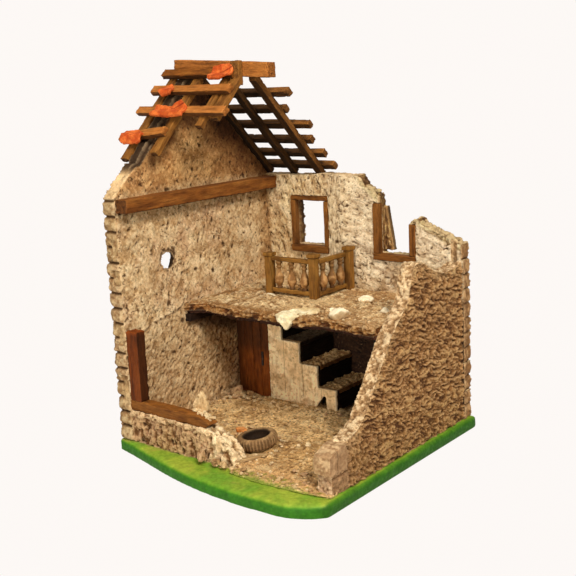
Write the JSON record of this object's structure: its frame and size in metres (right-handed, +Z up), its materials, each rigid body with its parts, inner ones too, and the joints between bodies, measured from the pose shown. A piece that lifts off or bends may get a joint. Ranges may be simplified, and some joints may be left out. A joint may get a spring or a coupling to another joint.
{
  "type": "miniature terrain ruin",
  "caption": "Tabletop terrain corner of a ruined two-storey stone house with timber roof remains, windows, balustraded floor, stair and door on a green base.",
  "frame": {"origin": "middle of the building's plan on the underside of the base board", "axes": "+X along the back wall away from the gable wall, +Y from the open front to the back wall, +Z up"},
  "size_m": [0.1114, 0.1066, 0.1469],
  "materials": {
    "green_base": "painted matt, yellow-green top and darker green edge",
    "earth": "painted sandy groundwork, matt",
    "plastered_masonry": "cast resin, painted as pitted beige plaster inside and coursed brown stone outside, matt",
    "dressed_stone": "cast resin, painted as smooth pinkish-beige stone, matt",
    "rubble_masonry": "cast resin, painted as brown rubble stone, matt",
    "pale_stone": "cast resin, painted as pale stone, matt",
    "white_plaster": "cast resin, painted as broken cream-white plaster, matt",
    "screed": "cast resin, painted as sandy ochre screed, matt",
    "pale_boarding": "thin strip wood, pale wash, matt",
    "timber": "strip wood, red-brown stain, satin-matt",
    "rail_timber": "strip wood, brown stain, matt",
    "baluster_timber": "turned, ochre-brown, drybrushed, matt",
    "roof_timber": "strip wood, ochre-brown, near-black below, matt",
    "door_timber": "dark red-brown stain, satin-matt",
    "dark_boards": "near-black brown stain, matt",
    "weathered_plank": "weathered plank, matt",
    "orange_tile": "painted bright orange-red clay, matt",
    "tyre_rubber": "cast resin, painted as dusty grey-brown rubber, matt",
    "dark_iron": "blackened pull, matt"
  },
  "bodies": {
    "root": {"back_wall": "plastered_masonry", "balusters_front": "baluster_timber", "balusters_side": "baluster_timber", "base_board": "green_base", "batten_front_1": "roof_timber", "batten_front_2": "roof_timber", "batten_front_3": "roof_timber", "batten_front_4": "roof_timber", "battens_back": "roof_timber", "debris_planks": "weathered_plank", "door_head": "door_timber", "door_latch": "dark_iron", "door_ledges": "door_timber", "door_planks": "door_timber", "dwarf_wall": "rubble_masonry", "end_wall": "plastered_masonry", "end_wall_block": "dressed_stone", "fallen_tile": "orange_tile", "floor_bearer_left": "dark_boards", "floor_bearer_right": "dark_boards", "floor_deck": "dark_boards", "floor_screed": "screed", "front_bottom_rail": "rail_timber", "front_top_rail": "rail_timber", "gable_wall": "plastered_masonry", "groundwork": "earth", "jamb_post": "timber", "leaning_stone": "pale_stone", "newel_corner": "rail_timber", "newel_left": "rail_timber", "newel_wall": "rail_timber", "plaster_lumps": "white_plaster", "plaster_spill": "white_plaster", "rafter_back_1": "roof_timber", "rafter_back_2": "roof_timber", "rafter_back_3": "roof_timber", "rafter_front_1": "roof_timber", "rafter_front_2": "roof_timber", "rafter_front_3": "roof_timber", "rafter_front_4": "roof_timber", "ridge_beam": "roof_timber", "roof_tiles": "orange_tile", "rubble_stones": "rubble_masonry", "side_bottom_rail": "rail_timber", "side_top_rail": "rail_timber", "sill_beam": "timber", "stair_risers": "dark_boards", "stair_side_panel": "pale_boarding", "stair_treads": "screed", "tie_beam": "timber", "tyre": "tyre_rubber", "window_1_head": "timber", "window_1_jambs": "timber", "window_1_sill": "timber", "window_2_fallen_head": "timber", "window_2_jambs": "timber", "window_2_sill": "timber"}
  },
  "joints": []
}
